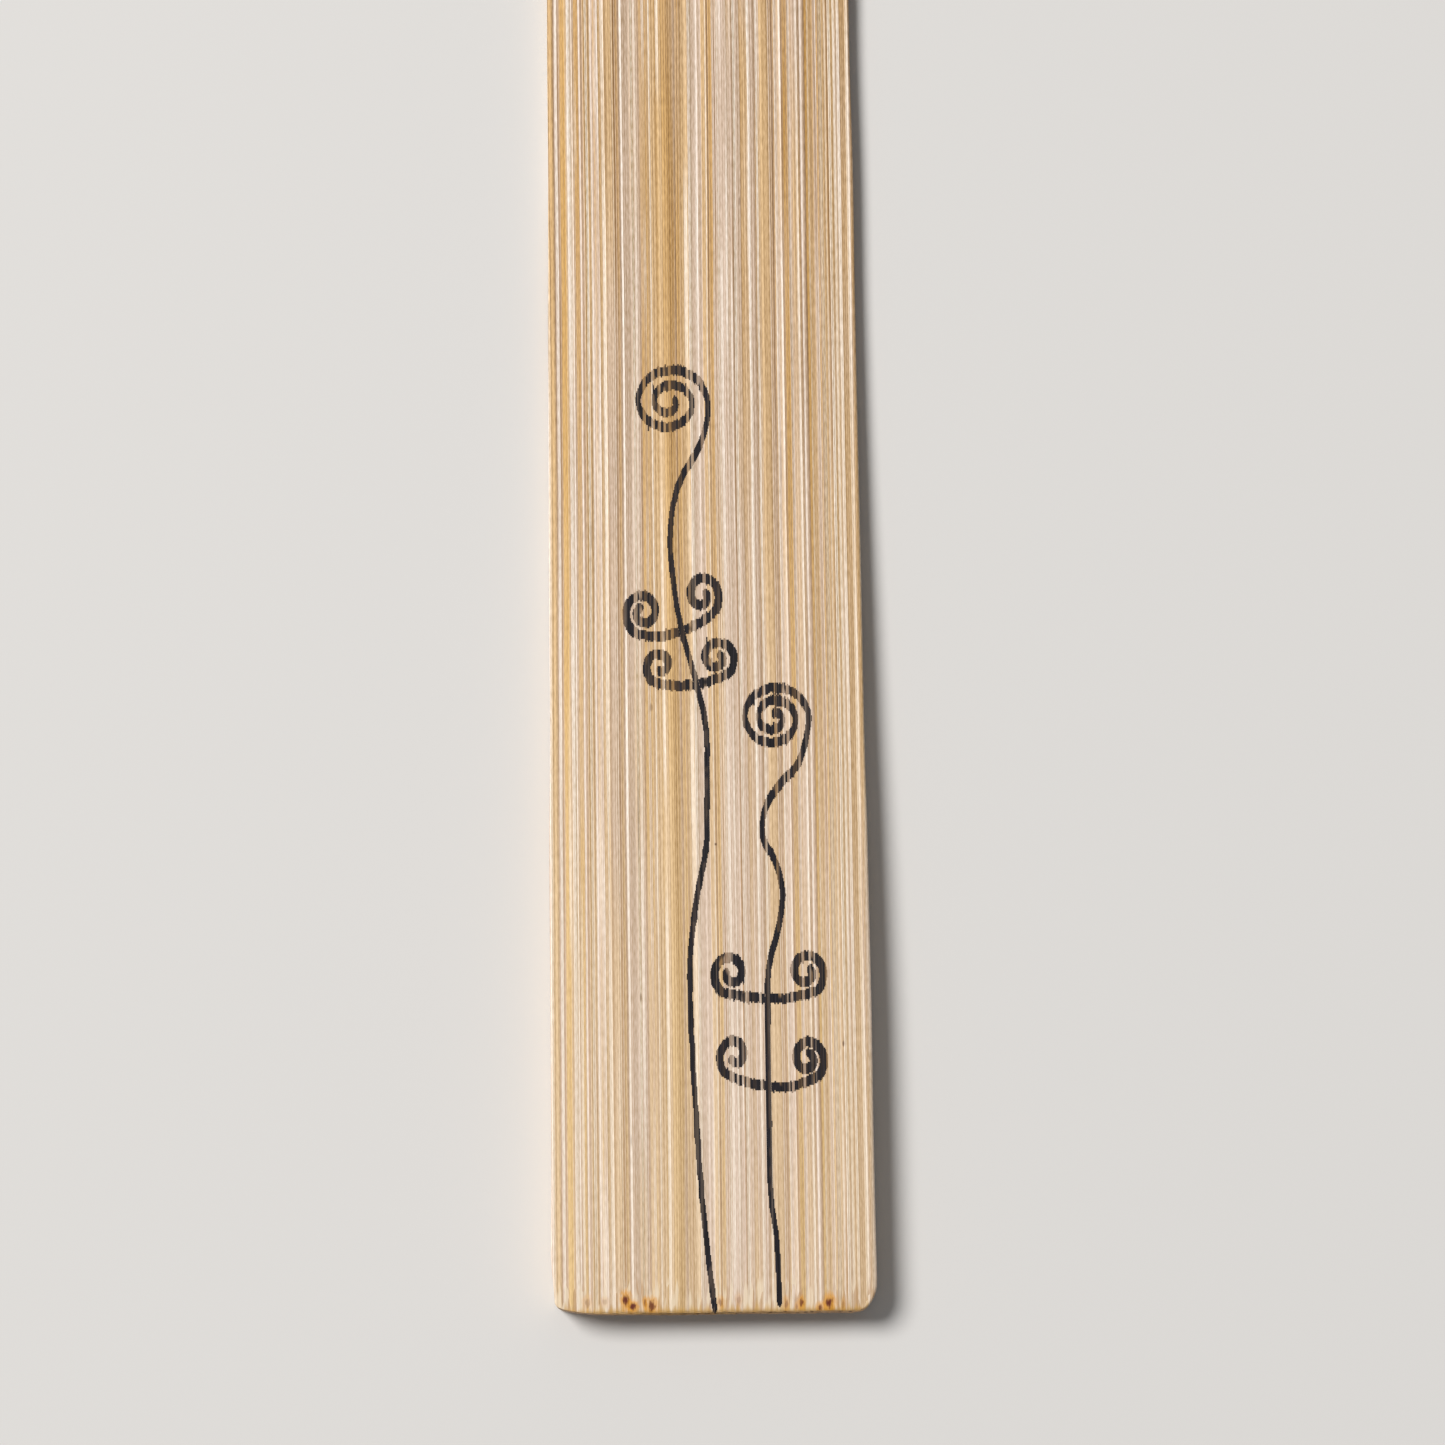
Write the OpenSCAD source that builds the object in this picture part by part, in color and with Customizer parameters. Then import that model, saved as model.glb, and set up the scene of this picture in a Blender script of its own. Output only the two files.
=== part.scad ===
// Bone folder: a flat bamboo strip with a squared handle end and a rounded creasing
// point, and a pen drawing of two curled fern fronds dried onto its upper face.
// Millimetres. X runs across the strip, Y from the handle end to the point, Z up.
// The origin is the middle of the flat underside.

/* [Strip] */
// Length from the handle end to the tip
overall_length = 180; // [160:5:200]
// Width near the handle end
handle_width = 25; // [22:0.5:30]
// How much narrower the strip is where the point begins
side_taper = 1.2; // [0:0.2:3]
// Thickness of the handle
handle_thickness = 3.2; // [2.6:0.1:4]
// Thickness of the thinned blade
blade_thickness = 1.4; // [1.2:0.1:2.2]
// Thickness at the very tip
tip_thickness = 0.8; // [0.7:0.1:1.1]
// Radius that takes the sharpness off the long edges
edge_round = 0.2; // [0.1:0.05:0.5]

/* [Point] */
// Length of the curved point
point_length = 38; // [30:1:50]
// Radius of the rounded nose
nose_radius = 3.5; // [2:0.25:6]
// Width of the bevel worked along both edges of the point
bevel_width = 2.4; // [1:0.2:3.4]
// How far that bevel runs down at the edge
bevel_drop = 0.4; // [0.2:0.05:0.5]

/* [Handle end] */
// How far the left corner is sanded in along the end
left_corner_reach = 8.5; // [4:0.5:9]
// How far the left corner is sanded in along the side
left_corner_depth = 1.1; // [0.6:0.1:2.4]
// How far the right corner is sanded in along the end
right_corner_reach = 1.8; // [1:0.1:4]
// How far the right corner is sanded in along the side
right_corner_depth = 2.4; // [1:0.1:4]
// How far the left side leans in over the last few millimetres
left_side_lean = 0.3; // [0:0.05:0.6]
// Radius of the round between the upper face and the end
end_round = 0.35; // [0.2:0.05:0.8]
// Radius of the round between the underside and the end
end_undercut = 1.2; // [0.4:0.1:1.3]

/* [Drawing] */
// Width of a pen line that runs along the grain
pen_width = 0.42; // [0.3:0.02:0.6]
// How many times wider a line gets across the grain, where ink creeps along the fibres
grain_bleed = 1.8; // [1:0.1:2.2]
// How many times wider the scrolls' lines are than the stems'
scroll_weight = 1.45; // [1:0.05:1.6]
// Thickness of the dried ink
ink_thickness = 0.05; // [0.04:0.01:0.1]

/* [Hidden] */

bamboo_colour = [0.80, 0.67, 0.52];
ink_colour = [0.13, 0.12, 0.15];

// The strip thins between these two distances from the handle end.
thinning_start = overall_length / 15;
thinning_end = overall_length * 0.47;
point_start = overall_length - point_length;
// The end's face ramps down gently over this length before its tighter round.
end_ramp_length = 2.7;
end_ramp_drop = 0.12;
side_lean_length = 5;

// The point is two large arcs tangent to the sides, closed by the nose's arc.
shoulder = (handle_width - side_taper) / 2;
nose_centre = point_length - nose_radius;
side_arc = (pow(shoulder, 2) + pow(nose_centre, 2) - pow(nose_radius, 2)) / (2 * (shoulder - nose_radius));
arc_meeting = side_arc * nose_centre / (side_arc - nose_radius);
nose_flat = 0.4;

end_zone = 6;
end_steps = 12;
middle_steps = 32;
point_steps = 16;
corner_points = 5;

// The drawing was made on a strip of this width, and grows with the strip.
drawing_scale = handle_width / 25;
drawing_length = 78 * drawing_scale;
drawing_half_width = 9.6 * drawing_scale;
nib_sides = 12;
curve_steps = 3;

function ease(a, b, u) = let (t = max(0, min(1, (u - a) / (b - a)))) t * t * (3 - 2 * t);
function round_in(u, radius) = radius * (1 - sqrt(1 - pow(max(0, 1 - u / radius), 2)));

// Outline and thickness, where u is the distance from the handle end
function corner_inset(u, reach, depth, power) =
    u >= depth ? 0 : reach * (1 - pow(1 - pow(1 - u / depth, power), 1 / power));
function point_half_width(s) =
    s < arc_meeting ? shoulder - side_arc + sqrt(pow(side_arc, 2) - pow(s, 2))
    : max(nose_flat, sqrt(max(0, pow(nose_radius, 2) - pow(s - nose_centre, 2))));
function half_width(u) =
    u < point_start ? (handle_width - side_taper * u / point_start) / 2
    : point_half_width(u - point_start);
function left_half_width(u) =
    half_width(u) - corner_inset(u, left_corner_reach, left_corner_depth, 3)
    - left_side_lean * (1 - ease(0, side_lean_length, u));
function right_half_width(u) =
    half_width(u) - corner_inset(u, right_corner_reach, right_corner_depth, 2);
function full_height(u) =
    handle_thickness
    + (blade_thickness - handle_thickness) * ease(thinning_start, thinning_end, u)
    + (tip_thickness - blade_thickness) * ease(point_start - point_length / 3, overall_length, u);
function top_height(u) =
    full_height(u) - end_ramp_drop * pow(max(0, 1 - u / end_ramp_length), 2)
    - round_in(u, end_round);
function bottom_height(u) = round_in(u, end_undercut);

// Distances from the handle end at which the strip is cut into sections
stations = concat(
    [for (k = [0:end_steps]) end_zone * pow(k / end_steps, 2.2)],
    [for (k = [1:middle_steps]) end_zone + (point_start - end_zone) * k / middle_steps],
    [for (k = [1:point_steps]) point_start + point_length * sin(90 * k / point_steps)]
);

function corner(x, z, rx, rz, first_angle) = [
    for (k = [0:corner_points - 1])
        let (a = first_angle + 90 * k / (corner_points - 1)) [x + rx * cos(a), z + rz * sin(a)]
];

// One section: its four corners, counter-clockwise as seen from the handle end
function section(u) =
    let (
        left = left_half_width(u),
        right = right_half_width(u),
        bottom = bottom_height(u),
        top = top_height(u),
        on_point = ease(point_start - point_length / 4, point_start + point_length / 2, u),
        upper_x = min(edge_round + (bevel_width - edge_round) * on_point, 0.4 * (left + right)),
        upper_z = edge_round + (bevel_drop - edge_round) * on_point,
        lower_x = min(edge_round, 0.3 * (left + right)),
        lower_z = 0.6 * edge_round
    )
    concat(
        corner(lower_x - left, bottom + lower_z, lower_x, lower_z, 180),
        corner(right - lower_x, bottom + lower_z, lower_x, lower_z, 270),
        corner(right - upper_x, top - upper_z, upper_x, upper_z, 0),
        corner(upper_x - left, top - upper_z, upper_x, upper_z, 90)
    );

// A closed skin over a row of sections, each a ring of [x, z] at its distance u
module skin_over(distances, rings) {
    count = len(rings[0]);
    last = (len(rings) - 1) * count;
    polyhedron(
        points = [
            for (i = [0:len(rings) - 1]) for (p = rings[i])
                [p[0], distances[i] - overall_length / 2, p[1]]
        ],
        faces = concat(
            [[for (j = [count - 1:-1:0]) j]],
            [for (i = [0:len(rings) - 2]) for (j = [0:count - 1])
                let (k = (j + 1) % count, a = i * count, b = a + count)
                [a + j, a + k, b + k, b + j]],
            [[for (j = [0:count - 1]) last + j]]
        )
    );
}

module bamboo_strip() {
    color(bamboo_colour)
        skin_over(stations, [for (u = stations) section(u)]);
}

// The drawing's curls and stems, as [across, distance from the handle end] on a strip
// 25 wide. A curl is [across, distance, outer radius, stretch along the grain,
// first angle, turning], and winds inwards from its first angle.
curl_shrink = 0.74;
head_shrink = 0.85;
curl_step = 38;

tall_head = [-2.7, 71.7, 3.1, 0.95, -8, 745];
tall_stem = [
    [0.1, 69.3], [-0.6, 67.6], [-2.1, 64.8], [-2.7, 61.5], [-2.6, 58], [-2, 53.8], [-0.9, 49.4],
    [-0.1, 45.5], [-0.1, 40], [-0.2, 36], [-1.1, 31.4], [-1.6, 26], [-1.4, 19], [-1, 11],
    [-0.5, 5], [0, 0.5]
];
short_head = [5.2, 46.2, 2.85, 0.97, -25, 830];
short_stem = [
    [7.1, 42.6], [5.6, 41], [4.4, 39], [4.2, 36.8], [5.2, 34.8], [5.7, 32.2], [5.2, 29.2],
    [4.5, 26.4], [4.4, 22], [4.4, 10], [4.8, 6], [5, 0.9]
];

// Each scroll is a low arc through two points, between two curls wound opposite ways.
tall_upper_curls = [[-4.9, 54.8, 1.55, 1.15, 258, -488], [-0.3, 56.1, 1.45, 1.25, -52, 432]];
tall_upper_arc = [[-3.4, 52.9], [-1.2, 53.5]];
tall_lower_curls = [[-3.6, 50.5, 1.25, 1.15, 252, -347], [0.8, 51.1, 1.5, 1.05, -58, 448]];
tall_lower_arc = [[-2.3, 48.9], [-0.3, 49.1]];
short_upper_curls = [[1.6, 26.2, 1.45, 1.15, 246, -426], [7.4, 26.2, 1.5, 1.15, -64, 449]];
short_upper_arc = [[3.2, 24.3], [5.7, 24.2]];
short_lower_curls = [[1.8, 19.8, 1.3, 1.25, 242, -367], [7.4, 19.5, 1.4, 1.2, -60, 480]];
short_lower_arc = [[3.2, 17.6], [5.9, 17.3]];

function curl(c, shrink) =
    let (steps = ceil(abs(c[5]) / curl_step))
    [for (k = [0:steps])
        let (t = k / steps, r = c[2] * (1 - shrink * t), a = c[4] + c[5] * t)
        [c[0] + r * cos(a), c[1] + c[3] * r * sin(a)]];
function backwards(p) = [for (i = [len(p) - 1:-1:0]) p[i]];
function curve_point(a, b, c, d, t) =
    (2 * b + (c - a) * t + (2 * a - 5 * b + 4 * c - d) * pow(t, 2)
    + (3 * b - a - 3 * c + d) * pow(t, 3)) / 2;
function curve_through(p) =
    let (last = len(p) - 1)
    [for (i = [0:last - 1]) for (k = [0:curve_steps - (i < last - 1 ? 1 : 0)])
        curve_point(p[max(i - 1, 0)], p[i], p[i + 1], p[min(i + 2, last)], k / curve_steps)];

tall_frond_line = concat(backwards(curl(tall_head, head_shrink)), tall_stem);
short_frond_line = concat(backwards(curl(short_head, head_shrink)), short_stem);
function scroll_line(curls, arc) =
    concat(backwards(curl(curls[0], curl_shrink)), arc, curl(curls[1], curl_shrink));

module nib(weight) {
    scale([weight * pen_width / 2, grain_bleed * pen_width / 2, 1])
        linear_extrude(handle_thickness + 1) circle(r = 1, $fn = nib_sides);
}

// The pen's whole stroke, standing up through the strip
module stroke(line, weight = 1) {
    path = drawing_scale * curve_through(line);
    for (i = [0:len(path) - 2])
        hull() for (p = [path[i], path[i + 1]])
            translate([p[0], p[1] - overall_length / 2, 0]) nib(weight);
}

// A thin layer lying exactly on the strip's upper face
module ink_layer() {
    under = [for (u = stations) if (u <= drawing_length + 8) u];
    skin_over(under, [for (u = under) let (z = top_height(u), w = drawing_half_width) [
        [-w, z], [w, z], [w, z + ink_thickness], [-w, z + ink_thickness]
    ]]);
}

module frond(line) {
    color(ink_colour) intersection() {
        union() stroke(line);
        ink_layer();
    }
}

// A scroll stops where it meets the stem that it crosses.
module scroll(line, stem_line) {
    color(ink_colour) intersection() {
        difference() {
            union() stroke(line, scroll_weight);
            stroke(stem_line);
        }
        ink_layer();
    }
}

module tall_fern_frond() frond(tall_frond_line);
module tall_fern_upper_scroll()
    scroll(scroll_line(tall_upper_curls, tall_upper_arc), tall_frond_line);
module tall_fern_lower_scroll()
    scroll(scroll_line(tall_lower_curls, tall_lower_arc), tall_frond_line);
module short_fern_frond() frond(short_frond_line);
module short_fern_upper_scroll()
    scroll(scroll_line(short_upper_curls, short_upper_arc), short_frond_line);
module short_fern_lower_scroll()
    scroll(scroll_line(short_lower_curls, short_lower_arc), short_frond_line);

bamboo_strip();
tall_fern_frond();
tall_fern_upper_scroll();
tall_fern_lower_scroll();
short_fern_frond();
short_fern_upper_scroll();
short_fern_lower_scroll();
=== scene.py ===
"""Bone folder: a bamboo strip with its fibres, worn edges and stained end, and the pen drawing on it."""

import math

import bpy
import numpy as np
from mathutils import Matrix, Vector


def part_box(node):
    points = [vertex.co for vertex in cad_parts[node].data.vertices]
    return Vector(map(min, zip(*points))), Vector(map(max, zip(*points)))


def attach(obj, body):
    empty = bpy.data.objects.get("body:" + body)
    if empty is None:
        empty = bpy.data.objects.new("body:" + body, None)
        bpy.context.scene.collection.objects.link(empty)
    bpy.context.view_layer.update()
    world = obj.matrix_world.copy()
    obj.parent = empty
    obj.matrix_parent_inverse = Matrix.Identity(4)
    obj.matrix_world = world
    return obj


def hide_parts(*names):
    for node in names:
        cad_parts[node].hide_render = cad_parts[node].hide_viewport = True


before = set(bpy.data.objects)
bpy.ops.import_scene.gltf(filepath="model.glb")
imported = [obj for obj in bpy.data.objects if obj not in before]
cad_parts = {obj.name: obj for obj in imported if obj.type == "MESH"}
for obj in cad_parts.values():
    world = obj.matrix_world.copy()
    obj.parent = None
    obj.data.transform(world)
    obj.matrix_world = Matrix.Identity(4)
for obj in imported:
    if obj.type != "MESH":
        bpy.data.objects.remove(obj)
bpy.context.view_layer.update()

MM = 0.001
STRIP = "bamboo_strip"
INK_FIGURES = [
    "tall_fern_frond", "tall_fern_upper_scroll", "tall_fern_lower_scroll",
    "short_fern_frond", "short_fern_upper_scroll", "short_fern_lower_scroll",
]
strip_low, strip_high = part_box(STRIP)
handle_end = strip_low.y
tip = strip_high.y


# ---------------------------------------------------------------- fibre noise

def fibre_noise(across, along, across_pitch, along_pitch, seed):
    """Smooth noise from -1 to 1 whose cells are narrow across the grain and long along it."""
    table = np.random.default_rng(seed).uniform(-1, 1, (256, 512))

    def cell(place, pitch, size):
        scaled = np.asarray(place, float) / pitch + 1000
        whole = np.floor(scaled).astype(int)
        part = scaled - whole
        return whole % size, (whole + 1) % size, part * part * (3 - 2 * part)

    row, next_row, down = cell(along, along_pitch, 256)
    column, next_column, over = cell(across, across_pitch, 512)
    near = table[row, column] * (1 - over) + table[row, next_column] * over
    far = table[next_row, column] * (1 - over) + table[next_row, next_column] * over
    return near * (1 - down) + far * down


def ease(start, end, value):
    """0 at the start, 1 at the end, with a soft change between."""
    t = np.clip((np.asarray(value, float) - start) / (end - start), 0, 1)
    return t * t * (3 - 2 * t)


BUNDLE_RISE = 0.006 * MM     # bundles of fibres left proud by sanding
FIBRE_RISE = 0.005 * MM      # single fibres left proud
LOOSE_TIP_RISE = 0.018 * MM  # extra, for the loose fibre tips beside the cut end


def raised_fibres(x, y):
    """How far the upper face stands above or below flat."""
    bundle = fibre_noise(x, y, 0.9 * MM, 40 * MM, 11)
    fibre = fibre_noise(x, y, 0.26 * MM, 14 * MM, 12)
    tips = 1 - ease(0.2 * MM, 2.2 * MM, y - handle_end)
    return BUNDLE_RISE * bundle + (FIBRE_RISE + LOOSE_TIP_RISE * tips) * fibre


# ---------------------------------------------------------------- the strip's sections

SIDES = ("y", "left", "right", "top", "bottom", "top_left", "top_right", "bottom_left",
         "bottom_right", "left_upper", "left_lower", "right_upper", "right_lower")
SECTION_POINTS = 16   # fewer points than this at one distance aren't a whole section


def read_sections(node):
    """One row for each of the CAD strip's sections, from the handle end to the tip, as SIDES says."""
    places = np.array([v.co for v in node.data.vertices], float)
    stations = np.round(places[:, 1] / MM, 3)
    rows = []
    for station in np.unique(stations):
        x, _, z = places[stations == station].T
        if len(x) < SECTION_POINTS:
            continue
        hair = 0.002 * MM
        left, right, top, bottom = x.min(), x.max(), z.max(), z.min()
        on_top, on_bottom = x[z > top - hair], x[z < bottom + hair]
        on_left, on_right = z[x < left + hair], z[x > right - hair]
        rows.append([station * MM, left, right, top, bottom, on_top.min(), on_top.max(),
                     on_bottom.min(), on_bottom.max(), on_left.max(), on_left.min(),
                     on_right.max(), on_right.min()])
    return np.array(rows)


def between_sections(table, place):
    """The sections at fractional row numbers, on a smooth curve through the rows."""
    last = len(table) - 1
    start = np.clip(np.floor(place).astype(int), 0, last - 1)
    t = (place - start)[:, None]
    a, b = table[np.maximum(start - 1, 0)], table[start]
    c, d = table[start + 1], table[np.minimum(start + 2, last)]
    return 0.5 * (2 * b + (c - a) * t + (2 * a - 5 * b + 4 * c - d) * t ** 2
                  + (3 * b - a - 3 * c + d) * t ** 3)


sections = read_sections(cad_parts[STRIP])
fine_places = np.linspace(0, len(sections) - 1, 6000)
fine_sections = between_sections(sections, fine_places)
fine_y, fine_top = fine_sections[:, 0], fine_sections[:, SIDES.index("top")]


def face_height(x, y):
    """Height of the strip's upper face, away from its rounded edges."""
    return np.interp(y, fine_y, fine_top) + raised_fibres(x, y)


# ---------------------------------------------------------------- the bamboo strip

# How many faces lie round a section, and how much of the map's width the two broad faces take
TOP_COLUMNS, BOTTOM_COLUMNS = 190, 88
UPPER_CORNER, LOWER_CORNER, SIDE_ROWS = 8, 4, 4
UPPER_SHARE, LOWER_SHARE = 0.62, 0.26
# The underside's fibres are other ones than the upper face's, so its places across start this far away.
UNDER_OFFSET = 60 * MM
# On the map, the handle's last 3 mm get a taller share, and the two ends lie above the rest.
HANDLE_END_SHARE, SIDES_ON_MAP = 0.06, 0.95
END_ON_MAP = {"handle": ((0.0, 0.96), (0.85, 0.25)), "nose": ((0.9, 0.96), (0.08, 0.25))}


# Stretches of the strip, as (from, to, gap between rows), in mm from the handle end. The nose follows them.
ROW_GAPS = [(0, 3, 0.1), (3, 8, 0.25), (8, 142, 0.78), (142, 174, 0.9)]
NOSE_ROWS = 24


def strip_rows():
    """Fractional section numbers of the mesh's rows, closest together at the handle end and the nose."""
    reach = np.concatenate([np.arange(*stretch) for stretch in ROW_GAPS]) * MM
    along = np.interp(handle_end + reach, fine_y, fine_places)
    nose = np.interp(handle_end + ROW_GAPS[-1][1] * MM, fine_y, fine_places)
    return np.concatenate([along, np.linspace(nose, len(sections) - 1, NOSE_ROWS)])


def section_ring(s, y):
    """One section's points and their places round it, counter-clockwise as seen from the handle end."""
    quarter = np.pi / 2

    def corner(x, z, rx, rz, first, steps):
        a = first + np.linspace(0, quarter, steps + 1)[:-1]
        return np.column_stack([x + rx * np.cos(a), z + rz * np.sin(a)])

    def straight(start, end, steps):
        return np.linspace(start, end, steps + 1)[:-1]

    lower_left = corner(s["bottom_left"], s["left_lower"], s["bottom_left"] - s["left"],
                        s["left_lower"] - s["bottom"], np.pi, LOWER_CORNER)
    lower_right = corner(s["bottom_right"], s["right_lower"], s["right"] - s["bottom_right"],
                         s["right_lower"] - s["bottom"], 3 * quarter, LOWER_CORNER)
    upper_right = corner(s["top_right"], s["right_upper"], s["right"] - s["top_right"],
                         s["top"] - s["right_upper"], 0, UPPER_CORNER)
    upper_left = corner(s["top_left"], s["left_upper"], s["top_left"] - s["left"],
                        s["top"] - s["left_upper"], quarter, UPPER_CORNER)
    ring = np.concatenate([
        lower_left,
        straight((s["bottom_left"], s["bottom"]), (s["bottom_right"], s["bottom"]), BOTTOM_COLUMNS),
        lower_right,
        straight((s["right"], s["right_lower"]), (s["right"], s["right_upper"]), SIDE_ROWS),
        upper_right,
        straight((s["top_right"], s["top"]), (s["top_left"], s["top"]), TOP_COLUMNS),
        upper_left,
        straight((s["left"], s["left_upper"]), (s["left"], s["left_lower"]), SIDE_ROWS),
    ])
    facing_up = ease(s["right_upper"], s["top"], ring[:, 1])
    ring[:, 1] += facing_up * raised_fibres(ring[:, 0], y)
    return ring


SIDE_WANDER = 0.05 * MM    # how far a side strays from its line
FRAY = 0.025 * MM          # the fibres end up to twice this short of the cut
FRAY_REACH = 0.8 * MM      # how far from the cut that shows


def wear_sides(rows):
    """Lets the hand-shaped sides wander a little, each in its own way."""
    y = rows[:, 0]
    calm = ease(0, 8 * MM, y - handle_end) * (1 - ease(-6 * MM, 0, y - tip))
    for side, seed in (("left", 21), ("right", 22)):
        drift = SIDE_WANDER * calm * fibre_noise(0, y, MM, 11 * MM, seed)
        for part in (side, "top_" + side, "bottom_" + side):
            rows[:, SIDES.index(part)] += drift
    return rows


def build_strip():
    """The strip as one closed skin of section rings, with raised fibres and a frayed cut end."""
    rows = wear_sides(between_sections(sections, strip_rows()))
    rings = [section_ring(dict(zip(SIDES, row)), row[0]) for row in rows]
    count, last = len(rings[0]), len(rings) - 1

    points = []
    for ring, row in zip(rings, rows):
        frayed = FRAY * (1 - ease(0, FRAY_REACH, row[0] - handle_end))
        shift = frayed * (1 + fibre_noise(ring[:, 0], 0 * ring[:, 0], 0.22 * MM, MM, 31))
        points.append(np.column_stack([ring[:, 0], row[0] + shift, ring[:, 1]]))
    points = np.concatenate(points)

    faces = [list(range(count - 1, -1, -1))]
    for i in range(last):
        a, b = i * count, (i + 1) * count
        faces += [[a + j, a + (j + 1) % count, b + (j + 1) % count, b + j] for j in range(count)]
    faces.append([last * count + j for j in range(count)])

    mesh = bpy.data.meshes.new("bamboo_strip_worn")
    mesh.from_pydata(points.tolist(), [], faces)
    mesh.update()
    mesh.shade_smooth()
    mesh.set_sharp_from_angle(angle=math.radians(55))
    mark_strip(mesh, points, count, last)
    return add_piece("bamboo_strip_worn", mesh)


def mark_strip(mesh, points, count, last):
    """Gives each face corner its place across the grain, unrolled round the section, and its map place."""
    under_from, under_to = LOWER_CORNER, LOWER_CORNER + BOTTOM_COLUMNS
    right_from = under_to + LOWER_CORNER
    top_from = right_from + SIDE_ROWS
    top_to = top_from + 2 * UPPER_CORNER + TOP_COLUMNS

    x, y, z = points.reshape(last + 1, count, 3).transpose(2, 0, 1)
    edge_right, edge_left = x[:, top_from], x[:, top_to % count]
    across = x.copy()
    across[:, under_to:top_from] = edge_right[:, None] + z[:, [top_from]] - z[:, under_to:top_from]
    left_side = list(range(top_to + 1, count)) + list(range(0, under_from + 1))
    across[:, left_side] = edge_left[:, None] - (z[:, [top_to % count]] - z[:, left_side])

    walk = np.zeros(count + 1)
    walk[under_from:under_to + 1] = np.linspace(0, LOWER_SHARE, BOTTOM_COLUMNS + 1)
    side_share = (1 - UPPER_SHARE - LOWER_SHARE) / 2
    walk[under_to:top_from + 1] = np.linspace(0, side_share, top_from - under_to + 1) + LOWER_SHARE
    walk[top_from:top_to + 1] = np.linspace(0, UPPER_SHARE, top_to - top_from + 1) + walk[top_from]
    left_count = count - top_to + under_from
    left_walk = walk[top_to] + np.linspace(0, side_share, left_count + 1)
    walk[top_to:count + 1] = left_walk[:count - top_to + 1]
    walk_before = np.concatenate([left_walk[count - top_to:], walk[under_from + 1:]])

    distance = y.mean(axis=1) - handle_end
    length = tip - handle_end
    climb = np.interp(distance, [0, 3 * MM, length], [0, HANDLE_END_SHARE, SIDES_ON_MAP])

    grain = mesh.attributes.new("across", "FLOAT", "CORNER")
    uv = mesh.uv_layers.new(name="OFBake")
    corner_across = np.zeros(len(mesh.loops))
    corner_uv = np.zeros((len(mesh.loops), 2))
    for face in mesh.polygons:
        loops = list(face.loop_indices)
        where = np.array([mesh.loops[k].vertex_index for k in loops])
        row, column = where // count, where % count
        if len(loops) > 4:
            corner_across[loops] = points[where, 0]
            flat = (points[where][:, [0, 2]] - (strip_low.x, 0)) / (strip_high.x - strip_low.x)
            corner, size = END_ON_MAP["nose" if row[0] > 0 else "handle"]
            corner_uv[loops] = np.add(corner, flat * size)
            continue
        first = min(column) if set(column) != {0, count - 1} else count - 1
        under = under_from <= first < under_to
        corner_across[loops] = points[where, 0] + UNDER_OFFSET if under else across[row, column]
        turned = np.where((column == 0) & (first == count - 1), count, column)
        if first < under_from:
            corner_uv[loops, 0] = walk_before[turned]
        else:
            corner_uv[loops, 0] = walk[turned]
        corner_uv[loops, 1] = climb[row]
    grain.data.foreach_set("value", (corner_across / MM).astype(np.float32))
    uv.data.foreach_set("uv", corner_uv.astype(np.float32).ravel())


def add_piece(name, mesh):
    piece = bpy.data.objects.new(name, mesh)
    bpy.context.scene.collection.objects.link(piece)
    return piece


# ---------------------------------------------------------------- the pen drawing

INK_COLUMN, INK_ROW = 0.06 * MM, 0.12 * MM      # one cell of ink
INK_ABOVE, INK_BELOW = 0.013 * MM, 0.03 * MM    # how far the film stands proud and reaches in
INK_MARGIN = 0.8 * MM                           # room round a figure for the ink to creep into
FIBRE = 0.12 * MM                               # width of one fibre that the ink creeps along


def figure_outline(node):
    """The edges round a drawn figure, seen from above, as rows of x, y, x, y."""
    counts = {}
    mesh = node.data
    for face in mesh.polygons:
        if face.normal.z < 0.5:
            continue
        corners = [tuple(np.round(np.array(mesh.vertices[v].co[:2]) / MM, 4)) for v in face.vertices]
        for a, b in zip(corners, corners[1:] + corners[:1]):
            if a != b:
                key = (a, b) if a < b else (b, a)
                counts[key] = counts.get(key, 0) + 1
    return np.array([a + b for (a, b), n in counts.items() if n % 2]) * MM


def inside(x, y, outline):
    """Which of the points lie inside the outline."""
    x1, y1, x2, y2 = outline.T
    hits = np.zeros(x.shape, bool)
    for a, b, c, d in zip(x1, y1, x2, y2):
        if a == c:
            continue
        crossing = (a > x) != (c > x)
        hits ^= crossing & (y < b + (x - a) * (d - b) / (c - a))
    return hits


def ink_cells(outline):
    """The fine cells that the ink covers once it has crept along the fibres, and the grid they are on."""
    low = outline.reshape(-1, 2).min(0) - INK_MARGIN
    high = outline.reshape(-1, 2).max(0) + INK_MARGIN
    columns, rows = np.ceil((high - low) / (INK_COLUMN, INK_ROW)).astype(int)
    i, j = np.meshgrid(np.arange(columns), np.arange(rows), indexing="ij")
    off_corners = 0.0007 * MM
    x = low[0] + (i + 0.5) * INK_COLUMN + off_corners
    y = low[1] + (j + 0.5) * INK_ROW

    fibre = np.floor(x / FIBRE + 0.35 * fibre_noise(x, y, 3 * FIBRE, 9 * MM, 40)) * FIBRE
    sway = 0.035 * MM * fibre_noise(x, y, 0.5 * MM, 0.9 * MM, 41)
    slip = 0.09 * MM * fibre_noise(fibre, y, 0.37 * FIBRE, 2.2 * MM, 42)
    wick = fibre_noise(fibre, y, 0.37 * FIBRE, 1.7 * MM, 43)
    creep = (0.02 + 0.08 * wick + 0.35 * ease(0.8, 1.0, wick)) * MM
    covered = inside(x + sway, y + slip, outline)
    for way in (-1, 1):
        covered |= inside(x + sway, y + slip + way * np.maximum(creep, 0), outline)
    return low, tidy_cells(covered)


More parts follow.
